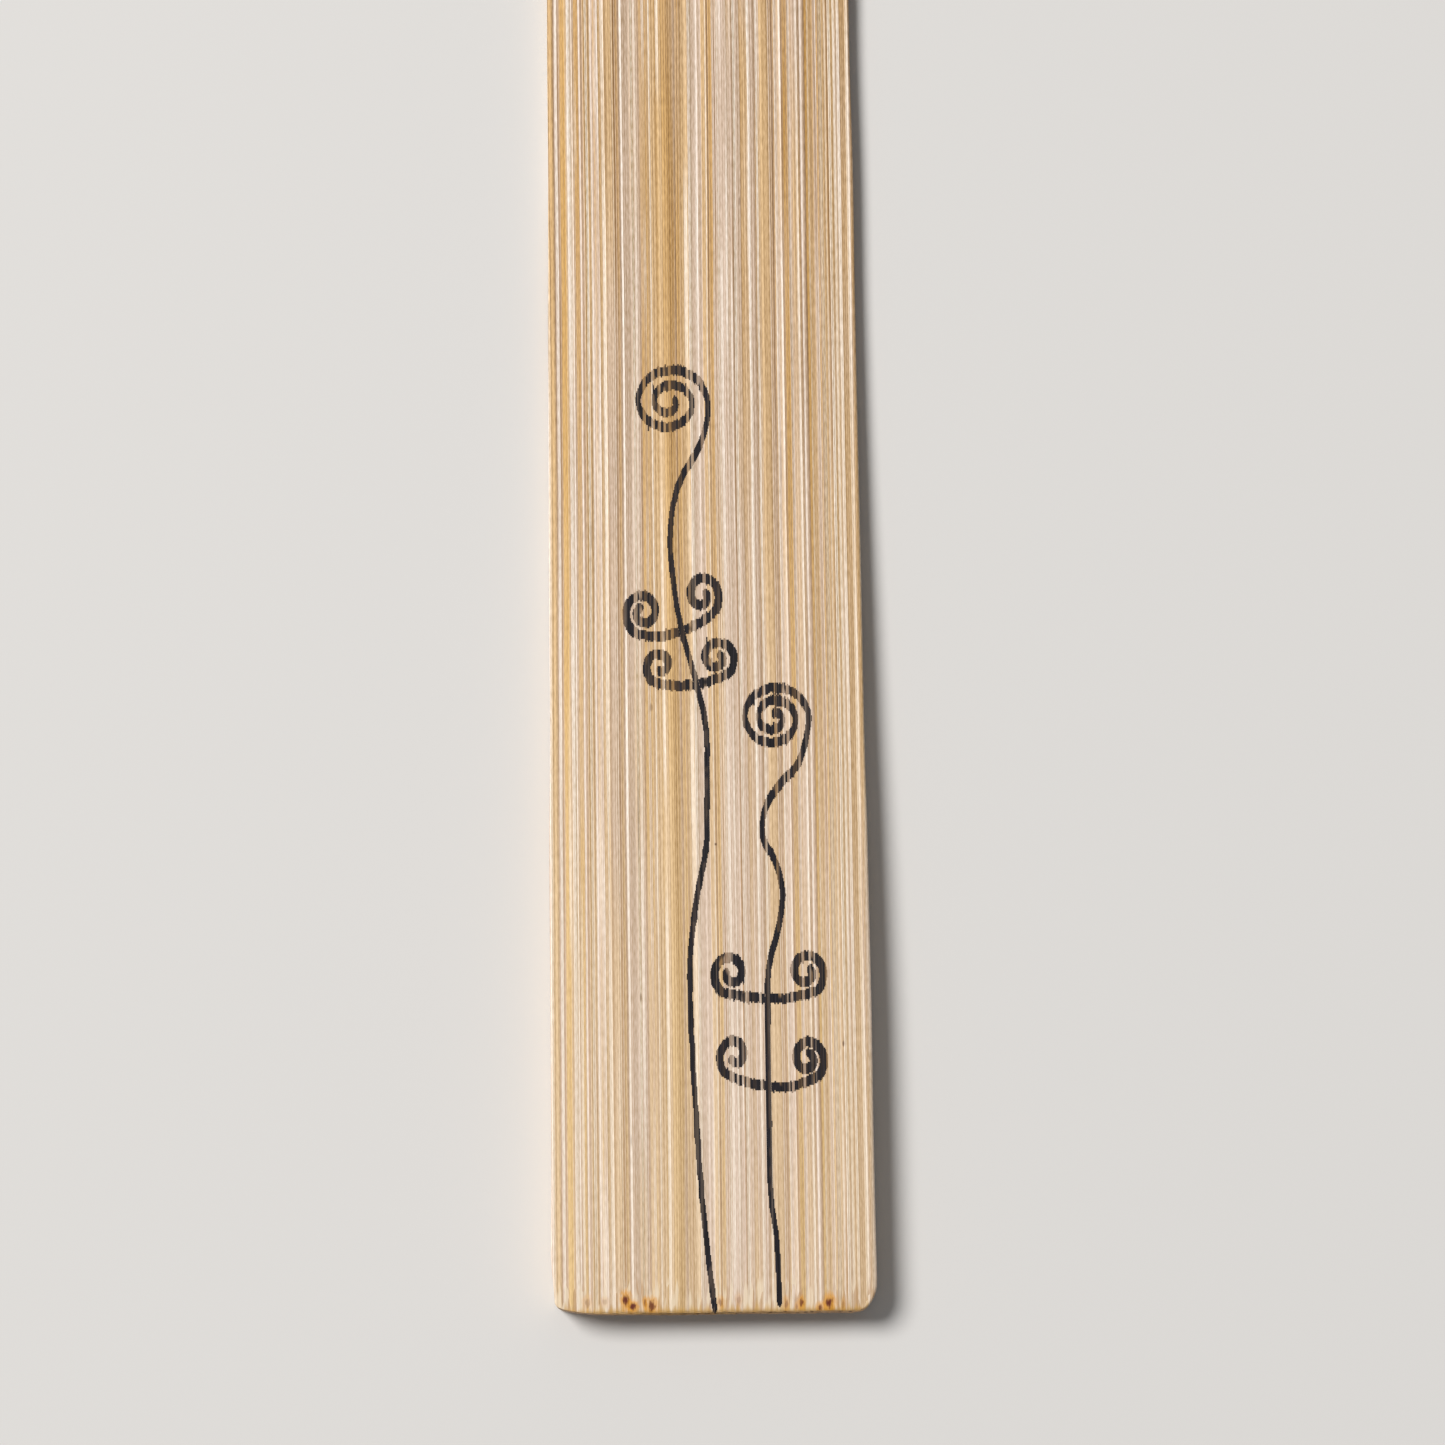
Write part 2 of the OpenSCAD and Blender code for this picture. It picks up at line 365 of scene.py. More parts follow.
def tidy_cells(covered):
    """Joins cells that would touch only at a corner, so that the ink stays one clean skin."""
    for _ in range(6):
        a, b = covered[:-1, :-1], covered[1:, 1:]
        c, d = covered[1:, :-1], covered[:-1, 1:]
        rising, falling = a & b & ~c & ~d, c & d & ~a & ~b
        if not (rising.any() or falling.any()):
            break
        covered[:-1, 1:] |= rising
        covered[:-1, :-1] |= falling
    return covered


def build_figure(name):
    """A drawn figure as a thin closed film that follows the fibres under it."""
    low, covered = ink_cells(figure_outline(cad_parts[name]))
    covered = np.pad(covered, 1)
    low = low - (INK_COLUMN, INK_ROW)
    touched = np.zeros((covered.shape[0] + 1, covered.shape[1] + 1), bool)
    for di in (0, 1):
        for dj in (0, 1):
            touched[di:di + covered.shape[0], dj:dj + covered.shape[1]] |= covered
    number = np.cumsum(touched.ravel()).reshape(touched.shape) - 1
    total = int(touched.sum())

    i, j = np.nonzero(touched)
    x, y = low[0] + i * INK_COLUMN, low[1] + j * INK_ROW
    face = face_height(x, y)
    upper = np.column_stack([x, y, face + INK_ABOVE])
    lower = np.column_stack([x, y, face - INK_BELOW])

    faces = []
    for a, b in zip(*np.nonzero(covered)):
        p, q, r, s = number[a, b], number[a + 1, b], number[a + 1, b + 1], number[a, b + 1]
        faces.append([p, q, r, s])
        faces.append([total + s, total + r, total + q, total + p])
        for start, end, open_side in ((p, q, not covered[a, b - 1]), (q, r, not covered[a + 1, b]),
                                      (r, s, not covered[a, b + 1]), (s, p, not covered[a - 1, b])):
            if open_side:
                faces.append([start, total + start, total + end, end])

    mesh = bpy.data.meshes.new(name + "_ink")
    mesh.from_pydata(np.concatenate([upper, lower]).tolist(), [], faces)
    mesh.update()
    mesh.shade_smooth()
    mesh.set_sharp_from_angle(angle=math.radians(40))
    mark_figure(mesh)
    strokes = with_the_grain(covered)
    loads = np.concatenate([strokes[i, j], strokes[i, j]])
    loaded = mesh.attributes.new("loaded", "FLOAT", "POINT")
    loaded.data.foreach_set("value", loads.astype(np.float32))
    return add_piece(name + "_ink", mesh)


def with_the_grain(covered):
    """1 at the corners of cells in strokes that run with the grain, 0 in strokes that cross it."""
    runs = np.zeros(covered.shape)
    for i, column in enumerate(covered):
        edges = np.flatnonzero(np.diff(np.concatenate([[0], column.astype(int), [0]])))
        for start, end in zip(edges[::2], edges[1::2]):
            runs[i, start:end] = end - start
    share = ease(0.9 * MM, 2.6 * MM, runs * INK_ROW)
    corners = np.zeros((covered.shape[0] + 1, covered.shape[1] + 1))
    for di in (0, 1):
        for dj in (0, 1):
            view = corners[di:di + covered.shape[0], dj:dj + covered.shape[1]]
            np.maximum(view, share, out=view)
    return corners


def mark_figure(mesh):
    """Gives each face corner of a drawn figure its place across the grain and its map place."""
    places = np.array([v.co for v in mesh.vertices])
    corners = np.array([loop.vertex_index for loop in mesh.loops])
    grain = mesh.attributes.new("across", "FLOAT", "CORNER")
    grain.data.foreach_set("value", (places[corners, 0] / MM).astype(np.float32))
    low, high = places.min(0), places.max(0)
    spread = ((places[:, :2] - low[:2]) / (high - low)[:2])[corners] * 0.98 + 0.01
    mesh.uv_layers.new(name="OFBake").data.foreach_set("uv", spread.astype(np.float32).ravel())


# ---------------------------------------------------------------- placing nodes

def shade(red, green, blue):
    """A colour given as it is seen, 0 to 255 a channel, as the shader takes it."""
    seen = np.array([red, green, blue]) / 255
    return (*np.where(seen < 0.04045, seen / 12.92, ((seen + 0.055) / 1.055) ** 2.4), 1.0)


class Bench:
    """Places nodes in a tree and wires them."""

    def __init__(self, tree):
        self.tree = tree
        self.count = 0

    def place(self, kind, sockets=None, **settings):
        node = self.tree.nodes.new(kind)
        node.location = (220 * (self.count % 14), -260 * (self.count // 14))
        self.count += 1
        for key, value in settings.items():
            setattr(node, key, value)
        for key, value in (sockets or {}).items():
            self.feed(node.inputs[key], value)
        return node

    def feed(self, socket, value):
        if isinstance(value, bpy.types.NodeSocket):
            self.tree.links.new(value, socket)
        else:
            socket.default_value = value

    def math(self, operation, a, b=0.0, c=0.0, clamp=False):
        node = self.place("ShaderNodeMath", {0: a, 1: b, 2: c}, operation=operation, use_clamp=clamp)
        return node.outputs[0]

    def mix(self, factor, a, b, blend="MIX"):
        node = self.place("ShaderNodeMix", {"Factor": factor}, data_type="RGBA", blend_type=blend)
        self.feed(node.inputs[6], a)
        self.feed(node.inputs[7], b)
        return node.outputs[2]

    def vector(self, x, y, z=0.0):
        return self.place("ShaderNodeCombineXYZ", {0: x, 1: y, 2: z}).outputs[0]

    def noise(self, place, detail=2.0, roughness=0.5):
        node = self.place("ShaderNodeTexNoise", {"Vector": place, "Scale": 1.0, "Detail": detail,
                                                 "Roughness": roughness})
        return node.outputs["Fac"]

    def step(self, value, start, end, low=0.0, high=1.0):
        node = self.place("ShaderNodeMapRange", {"Value": value, "From Min": start, "From Max": end,
                                                 "To Min": low, "To Max": high},
                          interpolation_type="SMOOTHSTEP")
        return node.outputs["Result"]

    def span(self, value, start, end):
        node = self.place("ShaderNodeMapRange", {"Value": value, "From Min": start, "From Max": end})
        return node.outputs["Result"]

    def length(self, x, y):
        node = self.place("ShaderNodeVectorMath", {0: self.vector(x, y)}, operation="LENGTH")
        return node.outputs["Value"]

    def scaled(self, x, x_scale, y, y_scale, z=0.0):
        """A place for noise, with its own scale across and along."""
        return self.vector(self.math("MULTIPLY", x, x_scale), self.math("MULTIPLY", y, y_scale), z)

    def split(self, colour):
        return self.place("ShaderNodeSeparateColor", {"Color": colour}).outputs

    def centred(self, value, scale):
        """The same value about zero, at another scale."""
        return self.math("MULTIPLY", self.math("SUBTRACT", value, 0.5), scale)

    @staticmethod
    def fill_ramp(ramp, stops):
        while len(ramp.elements) < len(stops):
            ramp.elements.new(1.0)
        for element, (place, value) in zip(ramp.elements, stops):
            element.position = place
            element.color = value


def new_group(name, inputs, outputs):
    """An empty node group with named sockets, its bench, and its two end nodes."""
    tree = bpy.data.node_groups.new(name, "ShaderNodeTree")
    for label, kind, value in inputs:
        socket = tree.interface.new_socket(name=label, in_out="INPUT", socket_type=kind)
        if value is not None:
            socket.default_value = value
    for label, kind in outputs:
        tree.interface.new_socket(name=label, in_out="OUTPUT", socket_type=kind)
    bench = Bench(tree)
    return bench, bench.place("NodeGroupInput").outputs, bench.place("NodeGroupOutput").inputs


# ---------------------------------------------------------------- bamboo

# The strip's bands in order across it, as (middle, half width, strength, kind), in mm.
# The cream bands at -12.20 and 12.30 run along the two edges; the stronger one at -12.20, on the side
# facing the light, is partly a painted highlight.
BANDS = [
    (-12.20, 0.08, 0.7, "cream"), (-11.85, 0.10, 0.4, "honey"), (-11.62, 0.04, 0.7, "brown"),
    (-11.42, 0.08, 0.7, "cream"), (-11.24, 0.05, 0.9, "brown"), (-10.95, 0.20, 1.0, "honey"),
    (-10.62, 0.03, 0.6, "brown"), (-10.40, 0.13, 0.9, "cream"), (-10.16, 0.04, 0.6, "cream"),
    (-10.06, 0.03, 0.6, "brown"), (-9.80, 0.16, 0.9, "honey"), (-9.55, 0.04, 0.5, "cream"),
    (-9.42, 0.05, 0.8, "brown"), (-9.24, 0.08, 0.5, "honey"), (-9.03, 0.08, 1.0, "cream"),
    (-8.82, 0.04, 0.7, "brown"), (-8.68, 0.05, 0.6, "cream"), (-8.52, 0.03, 0.5, "brown"),
    (-8.36, 0.10, 0.8, "honey"), (-8.20, 0.04, 0.5, "brown"), (-7.75, 0.05, 0.7, "cream"),
    (-7.48, 0.04, 0.7, "brown"), (-6.95, 0.03, 0.4, "cream"), (-6.80, 0.05, 0.9, "brown"),
    (-6.60, 0.11, 0.7, "honey"), (-6.42, 0.04, 0.7, "brown"), (-6.25, 0.07, 0.9, "cream"),
    (-5.42, 0.07, 0.9, "cream"), (-5.15, 0.05, 0.5, "cream"), (-4.88, 0.05, 0.9, "brown"),
    (-4.68, 0.12, 0.9, "honey"), (-4.48, 0.05, 0.7, "brown"), (-4.30, 0.06, 0.5, "honey"),
    (-4.13, 0.04, 0.6, "brown"), (-4.00, 0.06, 0.8, "cream"), (-3.40, 0.15, 0.7, "honey"),
    (-3.20, 0.03, 0.5, "brown"), (-2.58, 0.44, 0.7, "honey"), (-2.04, 0.04, 0.9, "brown"),
    (-1.83, 0.13, 0.9, "honey"), (-1.62, 0.04, 0.8, "brown"), (-0.86, 0.11, 0.7, "cream"),
    (-0.45, 0.03, 0.4, "brown"), (0.45, 0.04, 0.6, "cream"), (0.60, 0.05, 1.0, "brown"),
    (0.82, 0.14, 0.9, "honey"), (1.02, 0.03, 0.4, "cream"), (1.17, 0.04, 0.7, "brown"),
    (1.40, 0.05, 0.5, "cream"), (2.10, 0.05, 0.3, "cream"), (2.53, 0.05, 1.0, "brown"),
    (2.72, 0.07, 1.0, "cream"), (3.30, 0.12, 0.3, "honey"), (3.60, 0.03, 0.5, "brown"),
    (3.85, 0.08, 0.9, "cream"), (4.35, 0.04, 0.8, "brown"), (4.50, 0.06, 0.9, "cream"),
    (5.18, 0.03, 0.4, "brown"), (5.60, 0.05, 0.4, "honey"), (5.73, 0.05, 1.0, "brown"),
    (5.86, 0.04, 0.7, "honey"), (5.99, 0.05, 0.6, "cream"), (6.40, 0.03, 0.4, "cream"),
    (6.54, 0.06, 1.0, "brown"), (6.80, 0.17, 1.0, "honey"), (7.10, 0.04, 0.5, "cream"),
    (7.34, 0.10, 0.5, "honey"), (7.50, 0.05, 0.7, "brown"), (7.70, 0.07, 0.6, "cream"),
    (7.92, 0.03, 0.8, "brown"), (8.06, 0.05, 0.6, "cream"), (8.32, 0.05, 0.8, "brown"),
    (8.47, 0.07, 1.0, "honey"), (8.64, 0.04, 0.5, "cream"), (8.83, 0.06, 0.7, "brown"),
    (9.00, 0.05, 0.6, "honey"), (9.18, 0.07, 0.8, "brown"), (9.38, 0.08, 0.8, "honey"),
    (9.66, 0.09, 0.6, "cream"), (9.86, 0.03, 0.6, "brown"), (9.98, 0.04, 0.5, "cream"),
    (10.16, 0.06, 1.0, "brown"), (10.36, 0.09, 0.9, "cream"), (10.72, 0.08, 0.6, "cream"),
    (10.90, 0.04, 0.6, "brown"), (11.08, 0.08, 0.7, "cream"), (11.25, 0.03, 0.4, "brown"),
    (11.52, 0.08, 0.4, "brown"), (11.72, 0.06, 0.5, "cream"), (11.90, 0.03, 0.4, "brown"),
    (12.05, 0.05, 0.4, "honey"), (12.30, 0.08, 0.5, "cream"),
]
FADE = 0.022          # how softly a band ends, in mm
BANDS_PER_RAMP = 8    # a ramp holds 32 stops, four for each band


def band_masks(bench, line):
    """How far each place belongs to a honey, a cream or a brown band, in red, green and blue."""
    masks = None
    for first in range(0, len(BANDS), BANDS_PER_RAMP):
        group = BANDS[first:first + BANDS_PER_RAMP]
        start = group[0][0] - group[0][1] - FADE
        end = group[-1][0] + group[-1][1] + FADE
        ramp_node = bench.place("ShaderNodeValToRGB", {"Fac": bench.span(line, start, end)})
        stops = []
        for middle, half_width, strength, kind in group:
            value = [strength * (kind == name) for name in ("honey", "cream", "brown")] + [1]
            stops += [(middle - half_width - FADE, (0, 0, 0, 1)), (middle - half_width, value),
                      (middle + half_width, value), (middle + half_width + FADE, (0, 0, 0, 1))]
        stops.sort(key=lambda stop: stop[0])
        stops = [((place - start) / (end - start), value) for place, value in stops]
        bench.fill_ramp(ramp_node.color_ramp, stops)
        part = ramp_node.outputs["Color"]
        masks = part if masks is None else bench.mix(1.0, masks, part, "ADD")
    return bench.split(masks)


def fibre_row(bench, line, per_mm, seed, **settings):
    """A row of cells of uneven width across the grain, one for each fibre."""
    place = bench.math("MULTIPLY_ADD", line, per_mm, seed)
    return bench.place("ShaderNodeTexVoronoi", {"W": place, "Scale": 1.0}, voronoi_dimensions="1D",
                       **settings).outputs


def fibre_tones(bench, line, along, per_mm, seed):
    """How pale each fibre in a row is, from 0 to 1. It drifts a little along the fibre."""
    parts = bench.split(fibre_row(bench, line, per_mm, seed)["Color"])
    drift = bench.noise(bench.scaled(parts["Green"], 60.0, along, 0.045, seed), 1.0)
    return bench.math("MULTIPLY_ADD", parts["Red"], 0.66, bench.math("MULTIPLY_ADD", drift, 0.7, -0.18))


# The bamboo's colours, each as it is beside the handle end and as it is once ripe, further up
TAN = (225, 195, 156), (220, 182, 131)
ROSE = (220, 196, 174), (215, 189, 165)
HONEY = (226, 189, 128), (207, 157, 76)
CREAM = (247, 232, 212), (250, 237, 221)
BROWN = (184, 146, 104), (142, 101, 52)

# How many fibres there are to a mm, and the row's seed
BUNDLES, FIBRES, HAIRS = (1.7, 3.7), (4.6, 8.2), (11.0, 5.4)


def make_bamboo_fibres():
    """The colour of cut bamboo. Its bands and fibres run along the strip."""
    bench, given, out = new_group(
        "Bamboo fibres",
        [("Across", "NodeSocketFloat", 0.0), ("Along", "NodeSocketFloat", 0.0),
         ("Ripeness", "NodeSocketFloat", 1.0)],
        [("Color", "NodeSocketColor"), ("Honey", "NodeSocketFloat"), ("Cream", "NodeSocketFloat"),
         ("Height", "NodeSocketFloat")])
    across, along, ripe = given["Across"], given["Along"], given["Ripeness"]

    slow = bench.noise(bench.scaled(across, 0.1, along, 0.02), 1.0)
    quick = bench.noise(bench.scaled(across, 1.1, along, 0.13, 7), 1.0)
    wander = bench.math("ADD", bench.centred(slow, 0.3), bench.centred(quick, 0.05))
    line = bench.math("ADD", across, wander)

    honey, cream, brown = band_masks(bench, line)
    bundle = fibre_tones(bench, line, along, *BUNDLES)
    fibre = fibre_tones(bench, line, along, *FIBRES)
    border = fibre_row(bench, line, *FIBRES, feature="DISTANCE_TO_EDGE")["Distance"]
    hair = fibre_tones(bench, line, along, *HAIRS)
    fleck = bench.noise(bench.scaled(line, 11.0, along, 1.5, 5.9), 1.0)
    fade = bench.noise(bench.scaled(line, 1.4, along, 0.045, 12.5), 1.0)

    # The bands come and go along the strip, and single fibres add to them.
    honey = bench.math("MULTIPLY", honey, bench.step(fade, 0.3, 0.6, 0.6, 1.0))
    brown = bench.math("MULTIPLY", brown, bench.step(fade, 0.3, 0.65, 0.5, 1.0))
    cream = bench.math("MULTIPLY", cream, bench.step(fade, 0.7, 0.4, 0.65, 1.0))
    pale_fibre = bench.math("MULTIPLY", bench.step(fibre, 0.7, 0.82), 0.55)
    cream = bench.math("MAXIMUM", cream, pale_fibre)
    groove = bench.step(border, 0.16, 0.03)
    dark_groove = bench.math("MULTIPLY", groove, bench.step(fibre, 0.7, 0.35, 0.1, 0.8))
    brown = bench.math("MAXIMUM", brown, dark_groove)

    def ripened(colours):
        return bench.mix(ripe, shade(*colours[0]), shade(*colours[1]))

    colour = bench.mix(bench.step(bundle, 0.3, 0.62), ripened(TAN), ripened(ROSE))
    colour = bench.mix(bench.math("MULTIPLY", honey, 0.9), colour, ripened(HONEY))
    colour = bench.mix(bench.math("MULTIPLY", cream, 0.98), colour, ripened(CREAM))
    colour = bench.mix(bench.math("MULTIPLY", brown, 0.95), colour, ripened(BROWN))

    # No two fibres are quite as light, and a darker one is also a warmer one.
    spread = bench.centred(fibre, 0.46)
    for part, scale in ((hair, 0.56), (bundle, 0.12), (fleck, 0.8)):
        spread = bench.math("ADD", bench.centred(part, scale), spread)
    spread = bench.math("MULTIPLY", spread, bench.math("MULTIPLY_ADD", ripe, 0.35, 0.75))
    tint = bench.vector(*[bench.math("MULTIPLY_ADD", spread, share, 1.0) for share in (0.85, 1.0, 1.3)])
    colour = bench.mix(1.0, colour, tint, "MULTIPLY")

    height = bench.math("MULTIPLY_ADD", fleck, 0.35, bench.step(border, 0.0, 0.2, 0.0, 0.5))
    height = bench.math("MULTIPLY_ADD", hair, 0.35, height)

    for label, value in (("Color", colour), ("Honey", honey), ("Cream", cream), ("Height", height)):
        bench.feed(out[label], value)
    return bench.tree


# Fibre ends stained brown by damp, as (across, distance from the end, half width, half length,
# strength), in mm
STAINED_ENDS = [
    (-6.78, 1.10, 0.28, 0.55, 1.0), (-6.25, 0.65, 0.30, 0.36, 1.0), (-5.32, 0.90, 0.12, 0.36, 0.9),
    (-4.80, 0.65, 0.34, 0.50, 0.9), (-9.75, 0.95, 0.26, 0.42, 0.4), (-8.40, 1.00, 0.24, 0.30, 0.25),
    (0.45, 0.85, 0.26, 0.36, 0.5), (1.85, 1.00, 0.18, 0.45, 0.3), (5.50, 0.65, 0.16, 0.45, 0.5),
    (6.30, 0.50, 0.12, 0.25, 0.4), (6.68, 0.75, 0.20, 0.38, 0.85), (8.08, 0.40, 0.22, 0.30, 0.8),
    (8.80, 0.75, 0.32, 0.50, 1.0), (9.85, 0.55, 0.13, 0.45, 0.35),
]

# Flecks and a hairline split in the face, in the same form
SMALL_MARKS = [
    (-5.45, 38.6, 0.05, 4.0, 0.55), (-5.40, 24.4, 0.10, 0.45, 0.5), (-6.25, 13.4, 0.07, 0.5, 0.35),
    (10.20, 20.6, 0.10, 0.30, 0.8), (0.55, 36.3, 0.11, 0.14, 0.9), (-4.35, 47.2, 0.16, 0.40, 0.45),
    (-8.90, 61.0, 0.06, 1.6, 0.4), (6.10, 66.4, 0.05, 2.4, 0.35), (3.10, 88.0, 0.08, 0.5, 0.5),
    (-2.90, 112.0, 0.07, 0.9, 0.5), (5.30, 131.0, 0.06, 1.4, 0.5),
]
MARK = (108, 74, 46)


def oval(bench, across, reach, middle, distance, half_width, half_length):
    """How far each place is from an oval's middle: 1 on its rim."""
    dx = bench.math("DIVIDE", bench.math("SUBTRACT", across, middle), half_width)
    dy = bench.math("DIVIDE", bench.math("SUBTRACT", reach, distance), half_length)
    return bench.length(dx, dy)


def small_marks(bench, across, reach, colour):
    """Dark flecks, stretched along the fibres."""
    for *place, strength in SMALL_MARKS:
        away = oval(bench, across, reach, *place)
        colour = bench.mix(bench.step(away, 0.4, 1.1, strength, 0.0), colour, shade(*MARK))
    return colour


LOOSE_TIP, DARK_TIP = (242, 222, 192), (186, 144, 98)
# The rim colour is the cut end's own amber with painted shade, where the end rolls over away from the
# light.
AMBER_RIM_AND_SHADE, AMBER_HALO, STAIN = (206, 160, 82), (226, 156, 40), (104, 38, 8)


def stained_ends(bench, across, reach, colour):
    """Loose pale fibre tips at the cut, an amber rim along the rounded-over cut end that is partly painted
    shade, and a few brown stains.
    """
    place = bench.scaled(across, 4.6, reach, 0.5)
    tips = bench.place("ShaderNodeTexVoronoi", {"Vector": place, "Scale": 1.0}, voronoi_dimensions="2D")
    tip, other, _ = bench.split(tips.outputs["Color"])
    length = bench.math("MULTIPLY_ADD", tip, 2.7, 0.2)
    loose = bench.step(bench.math("SUBTRACT", reach, length), 0.3, -0.7)
    pale = bench.math("MULTIPLY", loose, bench.step(other, 0.4, 0.6, 0.0, 0.7))
    dark = bench.math("MULTIPLY", loose, bench.step(other, 0.35, 0.15, 0.0, 0.6))
    colour = bench.mix(pale, colour, shade(*LOOSE_TIP))
    colour = bench.mix(dark, colour, shade(*DARK_TIP))
    # Amber rim along the cut end, its width varied by noise: the end's own amber, partly painted shade of
    # the rolled-over edge.
    rim_width_noise = bench.noise(bench.vector(bench.math("MULTIPLY", across, 2.6), 3.0), 2.0)
    share = bench.math("DIVIDE", reach, bench.step(rim_width_noise, 0.35, 0.75, 0.35, 1.5))
    colour = bench.mix(bench.step(share, 0.2, 1.0, 0.75, 0.0), colour, shade(*AMBER_RIM_AND_SHADE))

    ragged = bench.centred(bench.noise(bench.scaled(across, 6.0, reach, 2.2), 2.0), 1.6)
    for *place, strength in STAINED_ENDS:
        away = bench.math("ADD", oval(bench, across, reach, *place), ragged)
        colour = bench.mix(bench.step(away, 0.8, 2.1, 0.8 * strength, 0.0), colour, shade(*AMBER_HALO))
        colour = bench.mix(bench.step(away, 0.3, 1.1, strength, 0.0), colour, shade(*STAIN))
    return colour


END_DARK, END_PALE, BUNDLE_END = (176, 130, 80), (204, 162, 110), (88, 50, 22)


def end_grain(bench, colour):
    """The cut ends: tan ground, thickly dotted with the dark ends of the fibre bundles."""
    normal = bench.place("ShaderNodeNewGeometry").outputs["Normal"]
    facing = bench.place("ShaderNodeSeparateXYZ", {0: normal}).outputs["Y"]
    mask = bench.step(bench.math("ABSOLUTE", facing), 0.6, 0.9)
    places = bench.place("ShaderNodeTexCoord").outputs["Object"]
    x, _, z = bench.place("ShaderNodeSeparateXYZ", {0: places}).outputs
    dots = bench.place("ShaderNodeTexVoronoi", {"Vector": bench.scaled(x, 1000.0, z, 1300.0), "Scale": 2.1,
                                                "Randomness": 0.9}, voronoi_dimensions="2D")
    bundle = bench.step(dots.outputs["Distance"], 0.42, 0.2, 0.0, 0.8)
    blotch = bench.noise(bench.scaled(x, 500.0, z, 700.0), 2.0)
    ground = bench.mix(bench.step(blotch, 0.35, 0.65), shade(*END_DARK), shade(*END_PALE))
    return bench.mix(mask, colour, bench.mix(bundle, ground, shade(*BUNDLE_END)))


def place_on_strip(bench):
    """Each place's distance across the grain and along the strip, in mm."""
    places = bench.place("ShaderNodeTexCoord").outputs["Object"]
    along = bench.math("MULTIPLY", bench.place("ShaderNodeSeparateXYZ", {0: places}).outputs["Y"], 1 / MM)
    return bench.place("ShaderNodeAttribute", attribute_name="across").outputs["Fac"], along


def place_fibres(bench, fibres, across, along, ripeness):
    sockets = {"Across": across, "Along": along, "Ripeness": ripeness}
    return bench.place("ShaderNodeGroup", sockets, node_tree=fibres).outputs


def raise_grain(bench, shader, height, distance):
    bump = bench.place("ShaderNodeBump", {"Height": height, "Strength": 1.0, "Distance": distance})
    bench.feed(shader.inputs["Normal"], bump.outputs["Normal"])


def new_material(name):
    """A material, its bench and its shader."""
    material = bpy.data.materials.new(name)
    material.use_nodes = True
    return material, Bench(material.node_tree), material.node_tree.nodes["Principled BSDF"]


def make_bamboo(fibres):
    """Sanded bamboo: pale beside the handle end, riper further up, satin and slightly worn."""
    material, bench, shader = new_material("sanded bamboo")
    across, along = place_on_strip(bench)
    reach = bench.math("SUBTRACT", along, handle_end / MM)
    grain = place_fibres(bench, fibres, across, along, bench.step(reach, 5.0, 95.0, 0.0, 1.0))

    colour = small_marks(bench, across, reach, grain["Color"])
    colour = stained_ends(bench, across, reach, colour)
    bench.feed(shader.inputs["Base Color"], end_grain(bench, colour))

    worn = bench.noise(bench.scaled(across, 0.35, along, 0.06), 3.0)
    rough = bench.math("MULTIPLY_ADD", worn, 0.22, 0.44)
    rough = bench.math("SUBTRACT", rough, bench.math("MULTIPLY", grain["Honey"], 0.08))
    bench.feed(shader.inputs["Roughness"], rough)
    raise_grain(bench, shader, grain["Height"], 0.012 * MM)
    shader.inputs["Specular IOR Level"].default_value = 0.4
    return material


# ---------------------------------------------------------------- ink

# The second ink colour is a painted sheen: the grey that the ink's streaks are lightened to.
BLACK_INK, INK_SHEEN = (15, 13, 18), (40, 36, 43)
STAINED_BARE = (212, 204, 196)


def make_ink(fibres):
    """Blue-black pen ink. It covers most fibres, and dense or waxy ones show through it. Its lighter grey
    streaks along the grain are painted sheen.
    """
    material, bench, shader = new_material("dried pen ink")
    across, along = place_on_strip(bench)
    grain = place_fibres(bench, fibres, across, along, 0.6)
    loaded = bench.place("ShaderNodeAttribute", attribute_name="loaded").outputs["Fac"]

    patch = bench.noise(bench.scaled(across, 0.8, along, 0.5), 1.0)
    waxy = bench.math("ADD", bench.centred(patch, 0.5), fibre_tones(bench, across, along, 4.4, 31.0))
    resist = bench.math("MAXIMUM", bench.math("MULTIPLY", bench.step(grain["Cream"], 0.3, 0.6), 0.92),
                        bench.math("MULTIPLY", grain["Honey"], 0.2))
    resist = bench.math("MAXIMUM", resist, bench.step(waxy, 0.57, 0.62, 0.0, 0.8))
    bare = bench.math("MULTIPLY", resist, bench.math("MULTIPLY_ADD", loaded, -0.85, 1.0), clamp=True)
    stained = bench.mix(1.0, grain["Color"], shade(*STAINED_BARE), "MULTIPLY")
    # Painted sheen: grey streaks along the grain lighten the ink's colour, and are a little rougher.
    sheen_streak = bench.noise(bench.scaled(across, 9.0, along, 0.4, 9.0), 1.0)
    ink = bench.mix(bench.step(sheen_streak, 0.35, 0.75), shade(*BLACK_INK), shade(*INK_SHEEN))
    bench.feed(shader.inputs["Base Color"], bench.mix(bare, ink, stained))
    bench.feed(shader.inputs["Roughness"], bench.step(sheen_streak, 0.2, 0.8, 0.5, 0.68))
    raise_grain(bench, shader, grain["Height"], 0.008 * MM)
    shader.inputs["Specular IOR Level"].default_value = 0.2
    return material


# ---------------------------------------------------------------- floor, light and camera

FLOOR_REACH = 3.0
FLOOR_GAP = 0.2 * MM    # keeps the floor's face clear of the strip's underside


def lay_floor():
    material, _, shader = new_material("pale floor")
    shader.inputs["Base Color"].default_value = shade(222, 220, 217)
    shader.inputs["Roughness"].default_value = 0.9
    corners = [(x * FLOOR_REACH, y * FLOOR_REACH, 0) for x, y in ((-1, -1), (1, -1), (1, 1), (-1, 1))]
    mesh = bpy.data.meshes.new("floor")
    mesh.from_pydata(corners, [], [(0, 1, 2, 3)])
    mesh.materials.append(material)
    floor = add_piece("floor", mesh)
    floor.location.z = -FLOOR_GAP


DRAWING_MIDDLE = 45 * MM    # from the handle end


